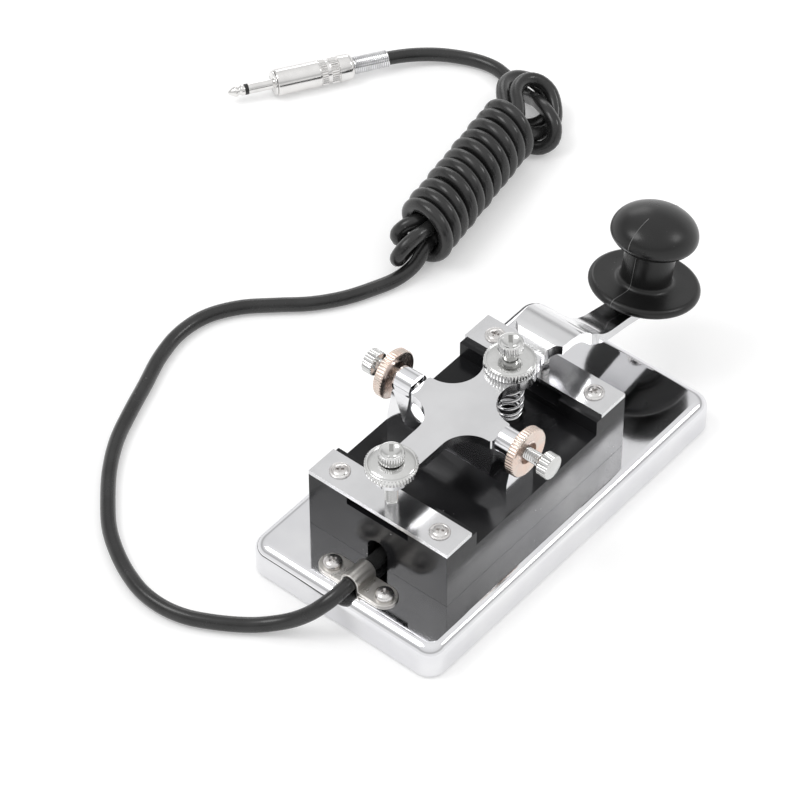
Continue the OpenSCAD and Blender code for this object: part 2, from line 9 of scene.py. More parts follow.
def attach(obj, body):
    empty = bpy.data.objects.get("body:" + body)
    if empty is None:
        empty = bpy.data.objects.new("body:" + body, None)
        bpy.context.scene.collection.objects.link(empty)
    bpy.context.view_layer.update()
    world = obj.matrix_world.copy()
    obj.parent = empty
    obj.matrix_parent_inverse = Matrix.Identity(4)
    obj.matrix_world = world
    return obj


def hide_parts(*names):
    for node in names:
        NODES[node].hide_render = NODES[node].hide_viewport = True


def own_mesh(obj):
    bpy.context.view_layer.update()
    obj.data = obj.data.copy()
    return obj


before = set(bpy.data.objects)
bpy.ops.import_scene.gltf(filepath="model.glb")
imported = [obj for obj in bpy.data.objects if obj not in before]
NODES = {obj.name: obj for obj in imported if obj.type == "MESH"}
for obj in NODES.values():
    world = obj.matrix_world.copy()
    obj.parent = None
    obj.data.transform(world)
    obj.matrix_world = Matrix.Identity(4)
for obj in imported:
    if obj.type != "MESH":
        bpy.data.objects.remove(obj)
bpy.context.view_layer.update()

MM = 0.001
TAU = 2 * math.pi
scene = bpy.context.scene

# Sizes in millimetres, as in the CAD source
FOOT, BASE_LEN, BASE_W, BASE_H, BASE_CORNER, BASE_EDGE = 0.6, 130.0, 68.0, 10.8, 5.8, 3.6
DECK_H, WALL_RISE, STRAP_T, PIVOT_H = 14.7, 5.3, 1.4, 32.0
GAP_ARM, SPRING_ARM, STUD_ARM = 30, 22.3, 38.2
LEVER_T, TIP_SLOPE, LEVER_TRAVEL = 3.0, 12.0, 1.4
THREAD_R, HEAD_R, CORD_D = 2.0, 3.75, 4.5

# Places in the row frame, in millimetres
PIVOT_X, BLOCK_X, BASE_X = -24.526, -20.826, -12.826
PLATE_Z = FOOT + BASE_H
DECK_Z = PLATE_Z + DECK_H
STRAP_Z = DECK_Z + WALL_RISE + STRAP_T
PIVOT_Z = PLATE_Z + PIVOT_H
LEVER_TOP = PIVOT_Z + LEVER_T / 2
GAP_X, SPRING_X, STUD_X = PIVOT_X - GAP_ARM, PIVOT_X + SPRING_ARM, PIVOT_X + STUD_ARM
CLAMP_X = BLOCK_X - 48.3
LEAD_EXIT, LEAD_Z = CLAMP_X - 4, 13.7


# ---------------------------------------------------------------- camera

# Fitted to the straight edges of the base, block and straps: degrees, metres, and the lens in millimetres
AZIMUTH, ELEVATION, ROLL = -50.1525, 46.0421, -0.1755
TARGET, DISTANCE, LENS = (-0.00770, 0.035944, 0.0114), 1.19014, 183.97


def make_camera():
    az, el, roll = (math.radians(a) for a in (AZIMUTH, ELEVATION, ROLL))
    back = Vector((math.sin(az) * math.cos(el), -math.cos(az) * math.cos(el), math.sin(el)))
    right = Vector((math.cos(az), math.sin(az), 0))
    up = back.cross(right)
    right, up = (right * math.cos(roll) + up * math.sin(roll),
                 up * math.cos(roll) - right * math.sin(roll))
    data = bpy.data.cameras.new("camera")
    data.sensor_width = 36
    data.lens = LENS
    data.clip_start, data.clip_end = 0.05, 20
    cam = bpy.data.objects.new("camera", data)
    turn = Matrix((right, up, back)).transposed().to_4x4()
    cam.matrix_world = Matrix.Translation(Vector(TARGET) + back * DISTANCE) @ turn
    scene.collection.objects.link(cam)
    scene.camera = cam


make_camera()


# ---------------------------------------------------------------- mesh helpers

def add(name, mesh, body, material, replaced=(), weighted=True):
    """Links a mesh as a piece that rides a body and may stand for some CAD nodes."""
    o = bpy.data.objects.new(name, mesh)
    scene.collection.objects.link(o)
    mesh.materials.clear()
    mesh.materials.append(material)
    if weighted:
        normals = o.modifiers.new("normals", "WEIGHTED_NORMAL")
        normals.keep_sharp, normals.weight, normals.mode = True, 100, "FACE_AREA"
    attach(o, body)
    if replaced:
        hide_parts(*replaced)
    return o


def smooth(mesh, angle):
    """Smooth shading, with a sharp edge where two faces meet at more than the angle."""
    mesh.shade_smooth()
    mesh.set_sharp_from_angle(angle=math.radians(angle))


def mesh_of(name, verts, faces, angle=35):
    mesh = bpy.data.meshes.new(name)
    mesh.from_pydata([tuple(np.asarray(v) * MM) for v in verts], [], faces)
    mesh.update()
    smooth(mesh, angle)
    return mesh


def merged(name, parts):
    """One mesh from several (vertices, faces) lists."""
    verts, faces = [], []
    for v, f in parts:
        start = len(verts)
        verts += [tuple(p) for p in v]
        faces += [tuple(i + start for i in face) for face in f]
    return mesh_of(name, verts, faces)


def placed(part, matrix):
    """A (vertices, faces) part moved by a matrix."""
    verts, faces = part
    return [tuple(matrix @ Vector(v)) for v in verts], faces


def revolve(profile, seg=96, teeth=0, depth=0.0):
    """A closed solid about Z from (r, z) or (r, z, knurl) points, with teeth cut in where knurl is 1."""
    verts, faces, rings = [], [], []
    for p in profile:
        r, z, k = (*p, 0)[:3]
        if r < 1e-6:
            rings.append([len(verts)])
            verts.append((0, 0, z))
            continue
        rings.append(list(range(len(verts), len(verts) + seg)))
        for i in range(seg):
            a = TAU * i / seg
            cut = 0
            if k and teeth:
                t = (teeth * i / seg) % 1
                cut = k * depth * (1 - min(1, 2.6 * min(t, 1 - t)))
            verts.append(((r - cut) * math.cos(a), (r - cut) * math.sin(a), z))
    for low, high in zip(rings, rings[1:]):
        for i in range(seg):
            j = (i + 1) % seg
            if len(low) == 1 and len(high) > 1:
                faces.append((low[0], high[j], high[i]))
            elif len(high) == 1 and len(low) > 1:
                faces.append((low[i], low[j], high[0]))
            elif len(low) > 1:
                faces.append((low[i], low[j], high[j], high[i]))
    if len(rings[0]) > 1:
        faces.append(tuple(reversed(rings[0])))
    if len(rings[-1]) > 1:
        faces.append(tuple(rings[-1]))
    return verts, faces


def thread(r, z0, z1, pitch=0.7, depth=0.36, seg=28, steps=7):
    """A helical thread of major radius r from z0 to z1, closed at both ends."""
    n = max(2, round((z1 - z0) / pitch * steps))
    verts, faces = [], []
    for j in range(n + 1):
        z = z0 + (z1 - z0) * j / n
        fade = min(1, (z - z0) / pitch * 1.2, (z1 - z) / pitch * 1.2)
        for i in range(seg):
            a = TAU * i / seg
            t = (z / pitch - i / seg) % 1
            cut = depth * (abs(2 * t - 1) * fade + 0.5 * (1 - fade))
            verts.append(((r - cut) * math.cos(a), (r - cut) * math.sin(a), z))
    for j in range(n):
        for i in range(seg):
            k = (i + 1) % seg
            faces.append((j * seg + i, j * seg + k, (j + 1) * seg + k, (j + 1) * seg + i))
    faces.append(tuple(reversed(range(seg))))
    faces.append(tuple(range(n * seg, (n + 1) * seg)))
    return verts, faces


def tube(path, r, sides=10):
    """A round tube along a path of points, closed at both ends."""
    path = [Vector(p) for p in path]
    verts, faces = [], []
    side = None
    for i, p in enumerate(path):
        d = (path[min(i + 1, len(path) - 1)] - path[max(i - 1, 0)]).normalized()
        if side is None:
            side = d.orthogonal().normalized()
        side = (side - d * side.dot(d)).normalized()
        other = d.cross(side)
        for k in range(sides):
            a = TAU * k / sides
            verts.append(tuple(p + (side * math.cos(a) + other * math.sin(a)) * r))
    for i in range(len(path) - 1):
        for k in range(sides):
            j = (k + 1) % sides
            faces.append((i * sides + k, i * sides + j, (i + 1) * sides + j, (i + 1) * sides + k))
    faces.append(tuple(reversed(range(sides))))
    faces.append(tuple(range((len(path) - 1) * sides, len(path) * sides)))
    return verts, faces


def hull(points):
    """The convex hull of some points, as (vertices, faces)."""
    bm = bmesh.new()
    for p in points:
        bm.verts.new(p)
    bmesh.ops.convex_hull(bm, input=bm.verts)
    bm.verts.index_update()
    out = [tuple(v.co) for v in bm.verts], [tuple(v.index for v in f.verts) for f in bm.faces]
    bm.free()
    return out


def finished(o):
    """The object's mesh with its modifiers applied."""
    depsgraph = bpy.context.evaluated_depsgraph_get()
    return bpy.data.meshes.new_from_object(o.evaluated_get(depsgraph))


def carved(part, cutters, name="carved"):
    """part with each closed cutter taken out of it, as (vertices, faces)."""
    base = bpy.data.objects.new(name, mesh_of(name, *part))
    scene.collection.objects.link(base)
    made = [base]
    for i, c in enumerate(cutters):
        tool = bpy.data.objects.new(f"{name}_tool_{i}", mesh_of(f"{name}_tool_{i}", *c))
        scene.collection.objects.link(tool)
        made.append(tool)
        cut = base.modifiers.new("cut", "BOOLEAN")
        cut.operation, cut.solver, cut.object = "DIFFERENCE", "EXACT", tool
    bpy.context.view_layer.update()
    mesh = finished(base)
    out = ([tuple(v.co / MM) for v in mesh.vertices], [tuple(p.vertices) for p in mesh.polygons])
    for o in made:
        bpy.data.objects.remove(o)
    return out


def refined(node, bevel, angle):
    """A copy of a CAD node's mesh, with its flat faces joined and its edges over the angle rounded."""
    bm = bmesh.new()
    bm.from_mesh(NODES[node].data)
    bmesh.ops.remove_doubles(bm, verts=bm.verts, dist=2e-6)
    bmesh.ops.dissolve_degenerate(bm, edges=bm.edges, dist=1e-6)
    bmesh.ops.dissolve_limit(bm, angle_limit=math.radians(0.6), verts=bm.verts, edges=bm.edges)
    mesh = bpy.data.meshes.new(node + "_fine")
    bm.to_mesh(mesh)
    bm.free()
    o = bpy.data.objects.new(node + "_work", mesh)
    scene.collection.objects.link(o)
    rounding = o.modifiers.new("round", "BEVEL")
    rounding.width, rounding.segments, rounding.limit_method = bevel * MM, 3, "ANGLE"
    rounding.angle_limit = math.radians(angle)
    rounding.use_clamp_overlap = True
    rounding.miter_outer = "MITER_ARC"
    bpy.context.view_layer.update()
    out = finished(o)
    out.name = node + "_fine"
    bpy.data.objects.remove(o)
    smooth(out, 40)
    return out


# ---------------------------------------------------------------- materials

def material(name, colour, other=None, metallic=0.0, rough=(0.2, 0.3), grain=180.0, bump=0.02,
             fine=1400.0, scratch=0.0, specks=0.0, spec=0.5, spread=(0.35, 0.65)):
    """A procedural finish: two tones, uneven roughness, grain and scratches in the bump, and dust specks."""
    mat = bpy.data.materials.new(name)
    mat.use_nodes = True
    nodes, links = mat.node_tree.nodes, mat.node_tree.links
    shader = nodes["Principled BSDF"]
    shader.inputs["Metallic"].default_value = metallic
    shader.inputs["Specular IOR Level"].default_value = spec
    place = nodes.new("ShaderNodeTexCoord")

    def noise(size, detail=4.0):
        n = nodes.new("ShaderNodeTexNoise")
        n.inputs["Scale"].default_value = size
        n.inputs["Detail"].default_value = detail
        links.new(place.outputs["Object"], n.inputs["Vector"])
        return n.outputs["Fac"]

    def ramp(value, low, high, a, b):
        r = nodes.new("ShaderNodeMapRange")
        r.inputs["From Min"].default_value, r.inputs["From Max"].default_value = low, high
        r.inputs["To Min"].default_value, r.inputs["To Max"].default_value = a, b
        links.new(value, r.inputs["Value"])
        return r.outputs["Result"]

    other = other or tuple(c * 0.86 for c in colour)
    tone = nodes.new("ShaderNodeMix")
    tone.data_type = "RGBA"
    tone.inputs["A"].default_value = (*colour, 1)
    tone.inputs["B"].default_value = (*other, 1)
    links.new(ramp(noise(grain), *spread, 0, 1), tone.inputs["Factor"])
    colour_out = tone.outputs["Result"]
    links.new(ramp(noise(grain * 1.7, 6.0), 0.3, 0.7, *rough), shader.inputs["Roughness"])
    height = ramp(noise(fine, 3.0), 0.2, 0.8, 0, 1)
    if scratch:
        line = nodes.new("ShaderNodeTexNoise")
        line.inputs["Scale"].default_value = 60
        line.inputs["Detail"].default_value = 8
        long = nodes.new("ShaderNodeMapping")
        long.inputs["Scale"].default_value = (1, 22, 1)
        long.inputs["Rotation"].default_value = (0.3, 0.2, 0.9)
        links.new(place.outputs["Object"], long.inputs["Vector"])
        links.new(long.outputs["Vector"], line.inputs["Vector"])
        mixed = nodes.new("ShaderNodeMath")
        mixed.operation = "MULTIPLY_ADD"
        links.new(ramp(line.outputs["Fac"], 0.63, 0.7, 0, 1), mixed.inputs[0])
        mixed.inputs[1].default_value = -scratch
        links.new(height, mixed.inputs[2])
        height = mixed.outputs["Value"]
    if specks:
        cell = nodes.new("ShaderNodeTexVoronoi")
        cell.inputs["Scale"].default_value = 420
        links.new(place.outputs["Object"], cell.inputs["Vector"])
        dots = ramp(cell.outputs["Distance"], 0.06, 0.10, 1, 0)
        chosen = nodes.new("ShaderNodeMath")
        chosen.operation = "MULTIPLY"
        links.new(dots, chosen.inputs[0])
        links.new(ramp(noise(35, 2.0), 0.56, 0.62, 0, specks), chosen.inputs[1])
        dust = nodes.new("ShaderNodeMix")
        dust.data_type = "RGBA"
        dust.inputs["B"].default_value = (0.45, 0.45, 0.44, 1)
        links.new(chosen.outputs["Value"], dust.inputs["Factor"])
        links.new(colour_out, dust.inputs["A"])
        colour_out = dust.outputs["Result"]
    links.new(colour_out, shader.inputs["Base Color"])
    relief = nodes.new("ShaderNodeBump")
    relief.inputs["Strength"].default_value = 1.0
    relief.inputs["Distance"].default_value = bump * MM
    links.new(height, relief.inputs["Height"])
    links.new(relief.outputs["Normal"], shader.inputs["Normal"])
    return mat


PLATED = material("plated_chrome", (0.80, 0.80, 0.81), (0.74, 0.74, 0.76), 1, (0.05, 0.11), 60, 0.0016,
                  700, scratch=0.5)
STRAP = material("strap_chrome", (0.74, 0.74, 0.75), (0.68, 0.68, 0.69), 1, (0.14, 0.20), 90, 0.0014, 900,
                 scratch=0.6)
LEVER = material("lever_chrome", (0.76, 0.76, 0.77), (0.70, 0.70, 0.71), 1, (0.12, 0.19), 70, 0.0016, 800,
                 scratch=0.5)
NICKEL = material("bright_nickel", (0.68, 0.68, 0.675), (0.60, 0.60, 0.59), 1, (0.12, 0.22), 160, 0.003,
                  1500)
ZINC = material("zinc_screw", (0.74, 0.73, 0.72), (0.60, 0.58, 0.57), 1, (0.20, 0.34), 260, 0.006, 1800)
COPPER = material("copper_nut", (0.74, 0.57, 0.49), (0.70, 0.62, 0.56), 1, (0.16, 0.30), 220, 0.004, 1500)
# Painted shade: a dark brown lining that darkens the recess in each copper lock nut
RECESS_SHADE = material("painted_recess_shade", (0.30, 0.19, 0.14), (0.20, 0.13, 0.10), 1, (0.3, 0.45), 300, 0.006, 1500)
BLACK = material("block_plastic", (0.007, 0.007, 0.008), (0.013, 0.013, 0.014), 0, (0.14, 0.24), 45, 0.003,
                 500, scratch=0.35, specks=0.6, spec=0.20)
KNOB = material("knob_plastic", (0.005, 0.005, 0.005), (0.009, 0.009, 0.009), 0, (0.26, 0.36), 70, 0.008, 900,
                specks=0.12, spec=0.40)
SEAM = material("knob_flash", (0.20, 0.20, 0.20), (0.10, 0.10, 0.10), 0, (0.4, 0.5), 300, 0.006, 1500)
RUBBER = material("foot_rubber", (0.03, 0.03, 0.03), (0.05, 0.05, 0.05), 0, (0.7, 0.85), 200, 0.05, 900)
BRASS = material("brass_part", (0.72, 0.55, 0.28), (0.60, 0.44, 0.22), 1, (0.2, 0.35), 250, 0.006, 1200)
SPRING = material("spring_steel", (0.76, 0.76, 0.77), (0.62, 0.62, 0.63), 1, (0.10, 0.2), 300, 0.003, 2000)
BROWN = material("wire_brown", (0.25, 0.12, 0.06), None, 0, (0.35, 0.5), 200, 0.02, 1200)
RED = material("wire_red", (0.55, 0.05, 0.04), None, 0, (0.35, 0.5), 200, 0.02, 1200)
CORD = material("cord_jacket", (0.012, 0.012, 0.012), (0.021, 0.021, 0.021), 0, (0.20, 0.30), 140, 0.010,
                1100, specks=0.25, spec=0.50)
CLAMP = material("clamp_nickel", (0.70, 0.68, 0.65), (0.60, 0.58, 0.55), 1, (0.26, 0.36), 160, 0.006, 1500)
PLUG = material("plug_metal", (0.80, 0.79, 0.78), (0.72, 0.71, 0.70), 1, (0.12, 0.22), 180, 0.002, 1600)
RING = material("plug_black", (0.012, 0.012, 0.012), None, 0, (0.3, 0.45), 200, 0.01, 1200)


# ---------------------------------------------------------------- the lead

# The hank's own frame: its length along +X, from the near end on the desk
HANK = Matrix.Translation((52.1, 76.3, 0)) @ Matrix.Rotation(math.radians(10), 4, "Z")
HANK_Z, WRAP_R, WRAPS, WRAP_PITCH = 10.35, 8.0, 11, 5.14
FIRST_WRAP = -2  # steps of the winding before its first low point


def at_hank(points):
    """Hank coordinates, along and across and up, to the row frame."""
    return [tuple(HANK @ Vector(p)) for p in points]


def wraps():
    """The winding: each turn goes over the top from right to left and leans back on the right."""
    per_turn = 18  # points in one turn
    out = []
    for i in range(FIRST_WRAP, WRAPS * per_turn + 1):
        k = i / per_turn
        a = math.radians(270) - TAU * k
        swell = 0.25 * math.sin(2.1 * k) + 0.12 * math.sin(5.3 * k + 1)
        r = WRAP_R + (0.15 * math.cos(3.7 * k) if 0 < k < WRAPS else 0)
        n = r * math.cos(a)
        up = max(HANK_Z + r * math.sin(a), CORD_D / 2 + 0.08)
        out.append((-0.6 + WRAP_PITCH * k + swell + 0.18 * n, n, up))
    return out


def curve_through(points, step=1.3):
    """A centripetal Catmull-Rom curve through the points, sampled about every step."""
    p = [Vector(q) for q in points]
    p = [p[0] * 2 - p[1]] + p + [p[-1] * 2 - p[-2]]
    out = []
    for i in range(1, len(p) - 2):
        a, b, c, d = p[i - 1:i + 3]
        t = [0.0]
        for u, v in ((a, b), (b, c), (c, d)):
            t.append(t[-1] + max((v - u).length, 1e-6) ** 0.5)
        n = max(1, round((c - b).length / step))
        for j in range(n):
            s = t[1] + (t[2] - t[1]) * j / n
            q1 = a * ((t[1] - s) / (t[1] - t[0])) + b * ((s - t[0]) / (t[1] - t[0]))
            q2 = b * ((t[2] - s) / (t[2] - t[1])) + c * ((s - t[1]) / (t[2] - t[1]))
            q3 = c * ((t[3] - s) / (t[3] - t[2])) + d * ((s - t[2]) / (t[3] - t[2]))
            r1 = q1 * ((t[2] - s) / (t[2] - t[0])) + q2 * ((s - t[0]) / (t[2] - t[0]))
            r2 = q2 * ((t[3] - s) / (t[3] - t[1])) + q3 * ((s - t[1]) / (t[3] - t[1]))
            out.append(r1 * ((t[2] - s) / (t[2] - t[1])) + r2 * ((s - t[1]) / (t[2] - t[1])))
    out.append(p[-2])
    return out


# The run from the clamp to the hank: points listed one by one, as in the CAD source
RUN = [
    (LEAD_EXIT, 0, LEAD_Z), (LEAD_EXIT - 3, 0, LEAD_Z), (-79.2, 0.5, 12.9), (-82, 1.8, 11.3),
    (-84.8, 4.4, 8.4), (-87.6, 8.1, 5.5), (-90.4, 12.2, 3.5), (-93.8, 16.6, 2.5),
    (-97, 21, 2.3), (-101, 27.5, 2.3), (-104, 34, 2.3), (-105.4, 41, 2.3),
    (-105, 49, 2.3), (-102.5, 57, 2.3), (-98.5, 65, 2.3), (-93, 73, 2.3),
    (-85.5, 80.5, 2.3), (-76, 88.5, 2.3), (-66, 94.8, 2.3), (-55, 99.5, 2.3),
    (-44, 103.6, 2.3), (-33, 107.8, 2.3), (-22, 110, 2.3), (-11.5, 108.8, 2.3),
    (-2, 103.5, 2.3), (6, 95.5, 2.3), (13, 88, 2.3), (21, 82, 2.3),
    (30, 77.6, 2.3),
]
CORE = 2.35  # half the spacing of the four core strands


def core(across, z, forward=True):
    """A straight strand inside the winding."""
    out = [(along, across, z) for along in (4, 14, 24, 34, 44, 51)]
    return out if forward else out[::-1]


def lead_points():
    """The whole lead from the clamp to the plug: the run, the hank in its own frame, and the tail."""
    low, high = HANK_Z - CORE, HANK_Z + CORE
    hank = [(-14.5, 0.9, 2.6), (-8.5, -1.5, 4.2), (-3.4, -2.2, 7.0)]
    hank += core(-CORE, low)
    # Inner far loop
    hank += [(56.5, -3.9, 7.4), (61, -6.6, 5.4), (65.5, -8.0, 4.2), (70, -7.8, 4.9), (73.8, -5.6, 7.2),
             (76.4, -2.4, 9.6), (76.8, 1.4, 11.4), (74.8, 4.4, 12.6), (70.8, 5.4, 13.2), (66.2, 4.2, 13.4),
             (61.8, 1.2, 13.3), (57, -1.4, 12.9)]
    hank += core(-CORE, high, False)
    # Near loop
    hank += [(-1.4, -1.8, 13.3), (-6.2, -0.6, 13.6), (-10.4, 1.0, 11.8), (-11.9, 2.4, 8.6),
             (-10.0, 3.1, 5.8), (-5.9, 3.0, 5.4), (-1.4, 2.6, 7.2)]
    hank += core(CORE, low)
    # Outer far loop
    hank += [(57.5, 2.0, 7.4), (62, 0.2, 4.8), (66.6, -2.4, 2.9), (71.5, -3.6, 2.35), (76.6, -2.0, 2.7),
             (80.4, 1.8, 4.2), (81.0, 6.6, 6.4), (77.8, 10.4, 8.6), (72.2, 11.3, 10.2), (66.4, 9.0, 11.2),
             (61.8, 5.8, 11.6), (57.5, 3.2, 12.0)]
    hank += core(CORE, high, False)
    # Down the far side and into the winding
    hank += [(1.0, 3.4, 12.6), (-1.7, 5.6, 11.6), (-3.1, 7.4, 9.0), (-2.5, 7.4, 6.2)]
    hank += wraps()
    # Through both far loops to the tail
    hank += [(57.0, -5.5, 2.5), (58.2, -9.6, 3.0), (60.6, -12.0, 5.2), (63.4, -11.2, 8.4),
             (66.2, -7.4, 10.2), (69.4, -3.0, 9.4), (73.0, 0.8, 6.9), (76.4, 5.0, 3.7), (79.2, 9.6, 2.4)]
    tail = [
        (130.4, 106, 2.4), (131.6, 112, 2.4), (130.8, 118, 2.4), (128.4, 124, 2.5), (124.6, 129.8, 2.9),
        (119.6, 134.6, 3.6), (114.6, 138.2, 4.2), (110.1, 141.1, 4.4), (104, 144.9, 4.4), (101, 146.8, 4.4),
    ]
    return RUN + at_hank(hank) + tail


def make_cord(with_pieces):
    line = curve_through(lead_points())
    data = bpy.data.curves.new("lead", "CURVE")
    data.dimensions = "3D"
    data.twist_mode = "MINIMUM"
    data.bevel_depth = CORD_D / 2 * MM
    data.bevel_resolution = 6
    data.use_fill_caps = True
    spline = data.splines.new("POLY")
    spline.points.add(len(line) - 1)
    spline.points.foreach_set("co", [c for p in line for c in (*(p * MM), 1)])
    spline.use_smooth = True
    data.materials.append(CORD)
    o = bpy.data.objects.new("lead", data)
    scene.collection.objects.link(o)
    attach(o, "base")
    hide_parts("cord_run", "cord_hank", "cord_tail")


# ---------------------------------------------------------------- plug

PLUG_FRAME = (Matrix.Translation((66.5, 168.4, 4.4)) @ Matrix.Rotation(math.radians(-32), 4, "Z")
              @ Matrix.Rotation(math.radians(90), 4, "Y"))
SHELL_R, SHELL_Z, SHELL_END = 4.4, 15.7, 41.3


def make_plug():
    def piece(name, part, mat):
        mesh = merged(name + "_fine", [placed(p, PLUG_FRAME) for p in part])
        return add(name + "_fine", mesh, "base", mat, [name])

    tip = revolve([(0, 0), (0.35, 0.04), (0.72, 0.4), (1.25, 1.25), (1.62, 2.0), (1.75, 2.35), (1.75, 2.7),
                   (1.6, 3.0), (1.32, 3.4), (1.27, 3.6), (1.45, 4.0), (1.72, 4.3), (1.75, 4.45), (1.75, 5.3),
                   (1.68, 5.4), (0, 5.4)], 64)
    ring = revolve([(0, 5.4), (1.72, 5.4), (1.75, 5.46), (1.75, 6.54), (1.72, 6.6), (0, 6.6)], 64)
    sleeve = revolve([(0, 6.6), (1.7, 6.6), (1.75, 6.66), (1.75, 14.3), (1.8, 14.45), (2.1, 14.6),
                      (2.4, 14.7), (3.6, 14.72), (3.95, 14.85), (4.0, 15.0), (4.0, 15.45), (3.9, 15.6),
                      (3.5, 15.68), (0, 15.7)], 72)
    # Each row of the shell: how far it lies inside the full radius, its height, and 1 where it is knurled
    rows = [(0.35, 0, 0), (0.15, 0.05, 0), (0, 0.3, 0), (0, 0.5, 0), (0, 14.0, 0), (0.08, 14.3, 0),
            (0.42, 14.5, 0), (0.42, 14.7, 0), (0.22, 14.75, 1), (0.22, 16.6, 1), (0.5, 16.65, 0),
            (0.62, 16.8, 0), (0.62, 17.8, 0), (0.5, 18.0, 0), (0.22, 18.05, 1), (0.22, 20.3, 1),
            (0.42, 20.35, 0), (0.42, 20.55, 0), (0.1, 20.75, 0), (0, 21.1, 0), (0.02, 24.2, 0),
            (0.25, 24.9, 0), (0.7, 25.35, 0), (1.2, 25.6, 0)]
    edge = [(SHELL_R - inset, SHELL_Z + z, knurl) for inset, z, knurl in rows]
    shell = revolve([(0, SHELL_Z)] + edge + [(0, SHELL_END)], 180, teeth=30, depth=0.42)
    turns, wire, steps = 19, 0.31, 16
    coil = []
    for i in range(turns * steps + 1):
        t = i / (turns * steps)
        r = 2.62 - 0.10 * t
        a = TAU * i / steps
        coil.append((r * math.cos(a), r * math.sin(a), SHELL_END - 0.3 + wire + (12.0 - wire) * t))
    spring = [tube(coil, wire, 10)]
    return [piece("plug_tip", [tip], PLUG), piece("plug_ring", [ring], RING),
            piece("plug_sleeve", [sleeve], PLUG),
            piece("plug_shell", [shell], PLUG),
            piece("plug_spring", spring, SPRING)]


make_cord(make_plug())


# ---------------------------------------------------------------- base, block and straps

def rounded_rect(length, width, r, n=12):
    r = max(r, 0.05)
    out = []
    for cx, cy, start in ((1, 1, 0), (-1, 1, 90), (-1, -1, 180), (1, -1, 270)):
        for i in range(n + 1):
            a = math.radians(start + 90 * i / n)
            out.append((cx * (length / 2 - r) + r * math.cos(a), cy * (width / 2 - r) + r * math.sin(a)))
    return out


def loft(rings):
    """A closed solid through flat rings of equal size, given as (points, z) from bottom to top."""
    n = len(rings[0][0])
    verts = [(x, y, z) for pts, z in rings for x, y in pts]
    faces = []
    for j in range(len(rings) - 1):
        for i in range(n):
            k = (i + 1) % n
            faces.append((j * n + i, j * n + k, (j + 1) * n + k, (j + 1) * n + i))
    faces.append(tuple(reversed(range(n))))
    faces.append(tuple(range((len(rings) - 1) * n, len(rings) * n)))
    return verts, faces


FOOT_EDGE = 0.5
BASE_SCREW_X, BASE_SCREW_Y = 25, 17.5
STRAP_SCREW_X, STRAP_SCREW_Y = 34.6, 18
CLAMP_SCREW_Y, CLAMP_TOP = 9.4, PLATE_Z + 0.78


def make_base():
    rings = []
    for i in range(5):
        a = math.radians(90 * i / 4)
        inset = FOOT_EDGE * (1 - math.sin(a))
        rings.append((rounded_rect(BASE_LEN - 2 * inset, BASE_W - 2 * inset, BASE_CORNER - inset),
                      FOOT + FOOT_EDGE * (1 - math.cos(a))))
    for i in range(13):
        a = math.radians(90 * i / 12)
        inset = BASE_EDGE * (1 - math.cos(a))
        rings.append((rounded_rect(BASE_LEN - 2 * inset, BASE_W - 2 * inset, BASE_CORNER - inset * 0.85),
                      PLATE_Z - BASE_EDGE + BASE_EDGE * math.sin(a)))
    plate = placed(loft(rings), Matrix.Translation((BASE_X, 0, 0)))
    pocket = revolve([(0, -1), (4.0, -1), (4.0, 4.6), (0, 4.6)], 40)
    pockets = [placed(pocket, Matrix.Translation((BLOCK_X + x * BASE_SCREW_X, y * BASE_SCREW_Y, 0)))
               for x in (-1, 1) for y in (-1, 1)]
    mesh = merged("base_plate_fine", [carved(plate, pockets, "plate")])
    add("base_plate_fine", mesh, "base", PLATED, ["base_plate"])


def phillips(head, z, size):
    """A screw head with a tapered cross recess cut down from height z."""
    wide, top, low, deep = 0.5 * size, 1.75 * size, 0.75 * size, 0.95 * size
    cutters = []
    for turn in (0, 90):
        points = [(x * top, y * wide, z + 0.3) for x in (-1, 1) for y in (-1, 1)]
        points += [(x * low, y * wide * 0.6, z - deep) for x in (-1, 1) for y in (-1, 1)]
        cutters.append(placed(hull(points), Matrix.Rotation(math.radians(turn), 4, "Z")))
    return carved(head, cutters, "head")


def make_screws():
    flat = revolve([(0, 0), (2.95, 0), (3.05, 0.12), (3.08, 0.3), (2.98, 0.5), (2.75, 0.6), (2.5, 0.58),
                    (2.34, 0.5), (2.26, 0.56), (2.1, 0.72), (1.7, 0.86), (1.0, 0.96), (0, 1.0)], 56)
    flat = phillips(flat, 1.0, 0.88)
    pan = revolve([(0, 0), (2.7, 0), (2.82, 0.15), (2.84, 0.5), (2.7, 0.95), (2.35, 1.35), (1.8, 1.62),
                   (1.0, 1.76), (0, 1.8)], 56)
    pan = phillips(pan, 1.8, 0.82)
    # Each row: the node, the head, where its pair stands, and how far each of the two is turned
    rows = (("rear_strap_screws", flat, BLOCK_X - STRAP_SCREW_X, STRAP_SCREW_Y, STRAP_Z, (25, -50)),
            ("front_strap_screws", flat, BLOCK_X + STRAP_SCREW_X, STRAP_SCREW_Y, STRAP_Z, (70, 12)),
            ("clamp_screws", pan, CLAMP_X, CLAMP_SCREW_Y, CLAMP_TOP, (35, -20)))
    for node, head, x, y, z, turns in rows:
        parts = []
        for side, turn in zip((-y, y), turns):
            place = Matrix.Translation((x, side, z)) @ Matrix.Rotation(math.radians(turn), 4, "Z")
            parts.append(placed(head, place))
        add(node + "_fine", merged(node + "_fine", parts), "base", ZINC, [node])


make_base()
make_screws()
